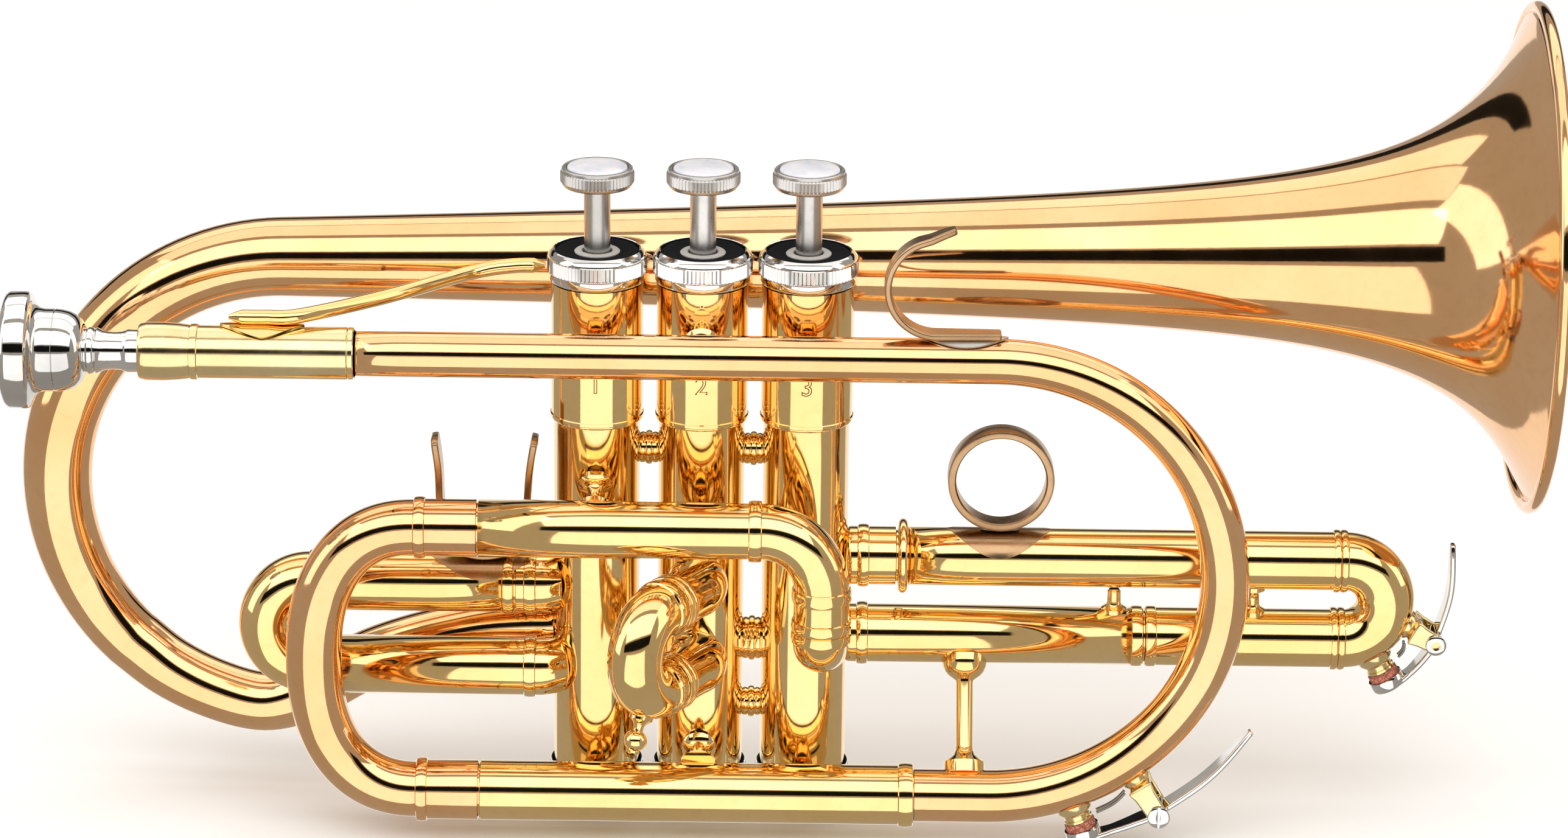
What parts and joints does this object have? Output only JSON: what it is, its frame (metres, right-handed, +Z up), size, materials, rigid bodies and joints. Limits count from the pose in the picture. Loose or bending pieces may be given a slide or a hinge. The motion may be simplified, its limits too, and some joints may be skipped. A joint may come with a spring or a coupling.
{
  "type": "cornet",
  "caption": "Shepherd's-crook cornet: tapered brass bell and tubing with piston valves, sliding tuning crooks, finger ring, thumb saddle and sprung water keys.",
  "frame": {"origin": "middle valve's axis at the step ring of its casing", "axes": "+X towards the bell's mouth, along the instrument; +Z up along the valve stems; +Y from the leadpipe side to the bell side"},
  "size_m": [0.352, 0.1281, 0.1889],
  "materials": {
    "gold_brass": "polished and lacquered red-gold brass",
    "yellow_brass": "polished and lacquered yellow brass",
    "silver_plate": "bright silver plate",
    "nickel_silver": "warm nickel silver, polished",
    "monel": "lapped nickel alloy",
    "spring_steel": "drawn spring wire",
    "pearl": "white pearl disc",
    "black_felt": "black felt",
    "cork": "reddish cork pad",
    "nylon": "nylon guide"
  },
  "bodies": {
    "root": {"bell_flare": "gold_brass", "bell_crook": "gold_brass", "mouthpiece_receiver": "yellow_brass", "leadpipe": "gold_brass", "lower_outer_sleeve": "yellow_brass", "upper_outer_sleeve": "yellow_brass", "valve_casing_1": "yellow_brass", "valve_casing_2": "yellow_brass", "valve_casing_3": "yellow_brass", "top_cap_1": "silver_plate", "top_cap_2": "silver_plate", "top_cap_3": "silver_plate", "bottom_cap_1": "silver_plate", "bottom_cap_2": "silver_plate", "bottom_cap_3": "silver_plate", "cap_felt_1": "black_felt", "cap_felt_2": "black_felt", "cap_felt_3": "black_felt", "valve_guide_1": "nylon", "valve_guide_2": "nylon", "valve_guide_3": "nylon", "valve_spring_1": "spring_steel", "valve_spring_2": "spring_steel", "valve_spring_3": "spring_steel", "knuckle_1_2": "yellow_brass", "knuckle_2_3": "yellow_brass", "port_tube_2_3": "yellow_brass", "first_slide_upper_tube": "yellow_brass", "first_slide_lower_sleeve": "yellow_brass", "second_slide_upper_sleeve": "yellow_brass", "second_slide_lower_sleeve": "yellow_brass", "third_slide_upper_tube": "yellow_brass", "third_slide_lower_sleeve": "yellow_brass", "third_slide_stay": "yellow_brass", "finger_hook": "nickel_silver", "bell_brace": "yellow_brass", "lower_key_saddle": "yellow_brass", "lower_key_spring": "spring_steel"},
    "mouthpiece": {"mouthpiece": "silver_plate"},
    "valve_1": {"piston_1": "monel", "valve_stem_1": "silver_plate", "pearl_1": "pearl"},
    "valve_2": {"piston_2": "monel", "valve_stem_2": "silver_plate", "pearl_2": "pearl"},
    "valve_3": {"piston_3": "monel", "valve_stem_3": "silver_plate", "pearl_3": "pearl"},
    "main_tuning_slide": {"main_tuning_slide": "gold_brass"},
    "first_slide": {"first_slide_bow": "yellow_brass", "thumb_saddle": "nickel_silver"},
    "second_slide": {"second_slide_bow": "yellow_brass"},
    "third_slide": {"third_slide_bow": "yellow_brass", "finger_ring": "nickel_silver", "upper_key_saddle": "yellow_brass", "upper_key_spring": "spring_steel"},
    "lower_key": {"lower_key_lever": "silver_plate", "lower_key_cork": "cork"},
    "upper_key": {"upper_key_lever": "silver_plate", "upper_key_cork": "cork"}
  },
  "joints": [
    {"name": "valve_1_press", "type": "slide", "parent": "root", "child": "valve_1", "axis": [0, 0, -1], "range_m": [0, 0.015], "stiffness_N_per_m": 80, "springref_m": -0.02, "deforming": ["valve_spring_1"]},
    {"name": "valve_2_press", "type": "slide", "parent": "root", "child": "valve_2", "axis": [0, 0, -1], "range_m": [0, 0.015], "stiffness_N_per_m": 80, "springref_m": -0.02, "deforming": ["valve_spring_2"]},
    {"name": "valve_3_press", "type": "slide", "parent": "root", "child": "valve_3", "axis": [0, 0, -1], "range_m": [0, 0.015], "stiffness_N_per_m": 80, "springref_m": -0.02, "deforming": ["valve_spring_3"]},
    {"name": "mouthpiece_pull", "type": "slide", "parent": "root", "child": "mouthpiece", "axis": [-1, 0, 0], "range_m": [0, 0.024]},
    {"name": "main_tuning_pull", "type": "slide", "parent": "root", "child": "main_tuning_slide", "axis": [-1, 0, 0], "range_m": [0, 0.025]},
    {"name": "first_slide_pull", "type": "slide", "parent": "root", "child": "first_slide", "axis": [-1, 0, 0], "range_m": [0, 0.02]},
    {"name": "second_slide_pull", "type": "slide", "parent": "root", "child": "second_slide", "axis": [-0.515, -0.8572, 0], "range_m": [0, 0.012]},
    {"name": "third_slide_pull", "type": "slide", "parent": "root", "child": "third_slide", "axis": [1, 0, 0], "range_m": [0, 0.03]},
    {"name": "lower_key_turn", "type": "hinge", "parent": "root", "child": "lower_key", "pos_m": [0.1064, -0.021, -0.0878], "axis": [0, 1, 0], "range_deg": [-16, 0], "stiffness_Nm_per_rad": 0.03, "springref_deg": 28.65},
    {"name": "upper_key_turn", "type": "hinge", "parent": "third_slide", "child": "upper_key", "pos_m": [0.1708, 0, -0.0526], "axis": [0, 1, 0], "range_deg": [-18, 0], "stiffness_Nm_per_rad": 0.03, "springref_deg": 28.65}
  ]
}
